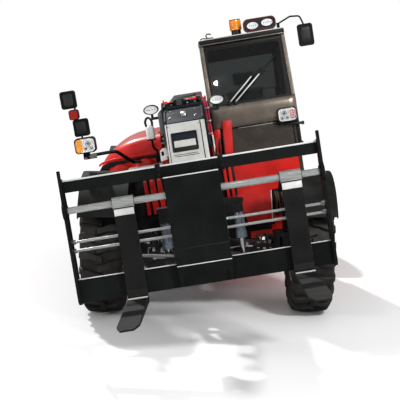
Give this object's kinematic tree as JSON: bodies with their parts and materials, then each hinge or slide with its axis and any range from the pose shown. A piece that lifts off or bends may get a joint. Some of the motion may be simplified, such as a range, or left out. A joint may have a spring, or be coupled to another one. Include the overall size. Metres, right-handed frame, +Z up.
{
  "type": "telehandler",
  "caption": "Telescopic handler with a side cab, rear-pivoted telescoping boom, tilting fork carriage, frame levelling and steered wheels under round mudguards.",
  "frame": {"origin": "on the ground, under the middle of the machine's bounding box", "axes": "+X towards the cab side, +Y from the forks to the counterweight, +Z up"},
  "size_m": [2.6188, 7.508, 2.9294],
  "materials": {
    "paint_red": "satin red machine enamel",
    "paint_cab": "dark brown-grey cab enamel",
    "paint_dark": "dusty dark grey enamel",
    "paint_silver": "light silver-grey enamel",
    "fork_steel": "worn black-grey forged steel",
    "steel": "bright machined steel",
    "chrome": "hard chromed rod",
    "tyre": "dusty black tyre",
    "rim": "light grey wheel enamel",
    "cast": "dark cast iron",
    "glass": "clear tinted cab glass",
    "seat": "black seat cover",
    "plastic": "matt black plastic",
    "lamp": "lamp bodies with clear, amber and red lenses"
  },
  "bodies": {
    "front_axle": {"front_axle_housing": "cast"},
    "chassis": {"chassis_frame": "paint_dark", "counterweight": "paint_dark", "tow_hitch": "cast", "engine_block": "cast", "engine_bay": "paint_dark", "cab_base": "paint_red", "cab_shell": "paint_cab", "cab_roof": "paint_cab", "cab_glazing": "glass", "driver_seat": "seat", "dashboard": "plastic", "roof_lights": "lamp", "roof_mirror": "plastic", "mirror_stalk": "plastic", "lamps": "lamp"},
    "rear_axle": {"rear_axle_housing": "cast"},
    "front_steering_rod": {"front_steering_rod": "chrome"},
    "rear_steering_rod": {"rear_steering_rod": "chrome"},
    "engine_hood": {"engine_hood": "paint_red"},
    "cab_door": {"cab_door": "paint_cab", "door_glass": "glass"},
    "boom_outer": {"boom_outer": "paint_red", "boom_lamps": "lamp"},
    "boom_middle": {"boom_middle": "paint_red"},
    "boom_inner": {"boom_inner": "paint_silver"},
    "carriage": {"carriage_frame": "paint_dark", "carriage_rods": "steel"},
    "fork_left": {"fork_left": "fork_steel"},
    "fork_right": {"fork_right": "fork_steel"},
    "lift_barrel": {"lift_barrel": "paint_dark"},
    "lift_rod": {"lift_rod": "chrome"},
    "tilt_barrel": {"tilt_barrel": "paint_dark"},
    "tilt_rod": {"tilt_rod": "chrome"},
    "front_left_knuckle": {"front_left_knuckle": "cast", "front_left_mudguard": "plastic"},
    "front_left_wheel": {"front_left_rim": "rim", "front_left_tyre": "tyre"},
    "front_right_knuckle": {"front_right_knuckle": "cast", "front_right_mudguard": "plastic"},
    "front_right_wheel": {"front_right_rim": "rim", "front_right_tyre": "tyre"},
    "rear_left_knuckle": {"rear_left_knuckle": "cast", "rear_left_mudguard": "plastic"},
    "rear_left_wheel": {"rear_left_rim": "rim", "rear_left_tyre": "tyre"},
    "rear_right_knuckle": {"rear_right_knuckle": "cast", "rear_right_mudguard": "plastic"},
    "rear_right_wheel": {"rear_right_rim": "rim", "rear_right_tyre": "tyre"},
    "left_levelling_barrel": {"left_levelling_barrel": "paint_dark"},
    "left_levelling_rod": {"left_levelling_rod": "chrome"},
    "right_levelling_barrel": {"right_levelling_barrel": "paint_dark"},
    "right_levelling_rod": {"right_levelling_rod": "chrome"}
  },
  "joints": [
    {"name": "frame_levelling", "type": "hinge", "parent": "front_axle", "child": "chassis", "pos_m": [0.10945, -0.6163, 0.625], "axis": [0, 1, 0], "range_deg": [0, 18]},
    {"name": "rear_axle_oscillation", "type": "hinge", "parent": "chassis", "child": "rear_axle", "pos_m": [0.10945, 2.4537, 0.625], "axis": [0, 1, 0], "range_deg": [-18, 0]},
    {"name": "front_left_steering", "type": "hinge", "parent": "front_axle", "child": "front_left_knuckle", "pos_m": [0.89945, -0.6163, 0.625], "axis": [0, 0, 1], "range_deg": [-35, 35]},
    {"name": "front_right_steering", "type": "hinge", "parent": "front_axle", "child": "front_right_knuckle", "pos_m": [-0.68055, -0.6163, 0.625], "axis": [0, 0, 1], "range_deg": [-35, 35]},
    {"name": "front_steering_rod_slide", "type": "slide", "parent": "front_axle", "child": "front_steering_rod", "axis": [1, 0, 0], "range_m": [-0.1681, 0.1681]},
    {"name": "front_left_wheel_spin", "type": "hinge", "parent": "front_left_knuckle", "child": "front_left_wheel", "pos_m": [1.10945, -0.6163, 0.625], "axis": [1, 0, 0], "continuous": true},
    {"name": "front_right_wheel_spin", "type": "hinge", "parent": "front_right_knuckle", "child": "front_right_wheel", "pos_m": [-0.89055, -0.6163, 0.625], "axis": [1, 0, 0], "continuous": true},
    {"name": "rear_left_steering", "type": "hinge", "parent": "rear_axle", "child": "rear_left_knuckle", "pos_m": [0.89945, 2.4537, 0.625], "axis": [0, 0, -1], "range_deg": [-35, 35]},
    {"name": "rear_right_steering", "type": "hinge", "parent": "rear_axle", "child": "rear_right_knuckle", "pos_m": [-0.68055, 2.4537, 0.625], "axis": [0, 0, -1], "range_deg": [-35, 35]},
    {"name": "rear_steering_rod_slide", "type": "slide", "parent": "rear_axle", "child": "rear_steering_rod", "axis": [1, 0, 0], "range_m": [-0.1681, 0.1681]},
    {"name": "rear_left_wheel_spin", "type": "hinge", "parent": "rear_left_knuckle", "child": "rear_left_wheel", "pos_m": [1.10945, 2.4537, 0.625], "axis": [1, 0, 0], "continuous": true},
    {"name": "rear_right_wheel_spin", "type": "hinge", "parent": "rear_right_knuckle", "child": "rear_right_wheel", "pos_m": [-0.89055, 2.4537, 0.625], "axis": [1, 0, 0], "continuous": true},
    {"name": "boom_lift", "type": "hinge", "parent": "chassis", "child": "boom_outer", "pos_m": [-0.07906, 2.8337, 1.81516], "axis": [-0.9877, 0, -0.1564], "range_deg": [-6, 60]},
    {"name": "boom_extend", "type": "slide", "parent": "boom_outer", "child": "boom_middle", "axis": [0, -1, 0], "range_m": [0, 2.4]},
    {"name": "inner_stage_extend", "type": "slide", "parent": "boom_middle", "child": "boom_inner", "axis": [0, -1, 0], "range_m": [0, 2.4]},
    {"name": "lift_barrel_pivot", "type": "hinge", "parent": "chassis", "child": "lift_barrel", "pos_m": [0.07268, 2.8337, 0.85711], "axis": [-0.9877, 0, -0.1564], "range_deg": [-4.19, 41.91]},
    {"name": "lift_rod_slide", "type": "slide", "parent": "lift_barrel", "child": "lift_rod", "axis": [-0.0573, -0.9305, 0.3619], "range_m": [-0.0725, 0.7248]},
    {"name": "carriage_tilt", "type": "hinge", "parent": "boom_inner", "child": "carriage", "pos_m": [0.0873, -2.16999, 0.76484], "axis": [0.9877, 0, 0.1564], "range_deg": [-10, 110]},
    {"name": "tilt_barrel_pivot", "type": "hinge", "parent": "boom_inner", "child": "tilt_barrel", "pos_m": [-0.06654, -1.4163, 1.73615], "axis": [0.9877, 0, 0.1564], "range_deg": [-0.66, 7.26]},
    {"name": "tilt_rod_slide", "type": "slide", "parent": "tilt_barrel", "child": "tilt_rod", "axis": [0.0948, -0.7955, -0.5985], "range_m": [-0.0595, 0.6543]},
    {"name": "fork_left_float", "type": "hinge", "parent": "carriage", "child": "fork_left", "pos_m": [0.74341, -2.48549, 1.5445], "axis": [-0.9877, 0, -0.1564], "range_deg": [0, 20]},
    {"name": "fork_right_float", "type": "hinge", "parent": "carriage", "child": "fork_right", "pos_m": [-0.57022, -2.48549, 1.33644], "axis": [-0.9877, 0, -0.1564], "range_deg": [0, 20]},
    {"name": "left_levelling_barrel_pivot", "type": "hinge", "parent": "chassis", "child": "left_levelling_barrel", "pos_m": [0.40479, -0.8063, 1.06158], "axis": [0, 1, 0], "range_deg": [-2.49, 0]},
    {"name": "left_levelling_rod_slide", "type": "slide", "parent": "left_levelling_barrel", "child": "left_levelling_rod", "axis": [0.1279, 0, -0.9918], "range_m": [-0.1129, 0]},
    {"name": "right_levelling_barrel_pivot", "type": "hinge", "parent": "chassis", "child": "right_levelling_barrel", "pos_m": [-0.30635, -0.8063, 0.94894], "axis": [0, 1, 0], "range_deg": [-2.49, 0]},
    {"name": "right_levelling_rod_slide", "type": "slide", "parent": "right_levelling_barrel", "child": "right_levelling_rod", "axis": [0.142, 0, -0.9899], "range_m": [0, 0.1129]},
    {"name": "hood_lift", "type": "hinge", "parent": "chassis", "child": "engine_hood", "pos_m": [-0.36754, 0.9137, 1.71885], "axis": [0, 1, 0], "range_deg": [0, 55]},
    {"name": "cab_door_swing", "type": "hinge", "parent": "chassis", "child": "cab_door", "pos_m": [1.09095, 1.5657, 1.86885], "axis": [-0.1564, 0, 0.9877], "range_deg": [0, 85]}
  ],
  "couplings": [
    {"joint": "rear_axle_oscillation", "follows": "frame_levelling", "ratio": -1},
    {"joint": "front_right_steering", "follows": "front_left_steering", "ratio": 1},
    {"joint": "front_steering_rod_slide", "follows": "front_left_steering", "m_per_rad": 0.275},
    {"joint": "rear_right_steering", "follows": "rear_left_steering", "ratio": 1},
    {"joint": "rear_steering_rod_slide", "follows": "rear_left_steering", "m_per_rad": 0.275},
    {"joint": "inner_stage_extend", "follows": "boom_extend", "ratio": 1},
    {"joint": "lift_barrel_pivot", "follows": "boom_lift", "ratio": 0.69848},
    {"joint": "lift_rod_slide", "follows": "boom_lift", "m_per_rad": 0.69212},
    {"joint": "tilt_barrel_pivot", "follows": "carriage_tilt", "ratio": 0.066009},
    {"joint": "tilt_rod_slide", "follows": "carriage_tilt", "m_per_rad": 0.34076},
    {"joint": "left_levelling_barrel_pivot", "follows": "frame_levelling", "ratio": -0.13838},
    {"joint": "left_levelling_rod_slide", "follows": "frame_levelling", "m_per_rad": -0.35906},
    {"joint": "right_levelling_barrel_pivot", "follows": "frame_levelling", "ratio": -0.13838},
    {"joint": "right_levelling_rod_slide", "follows": "frame_levelling", "m_per_rad": 0.35906}
  ]
}
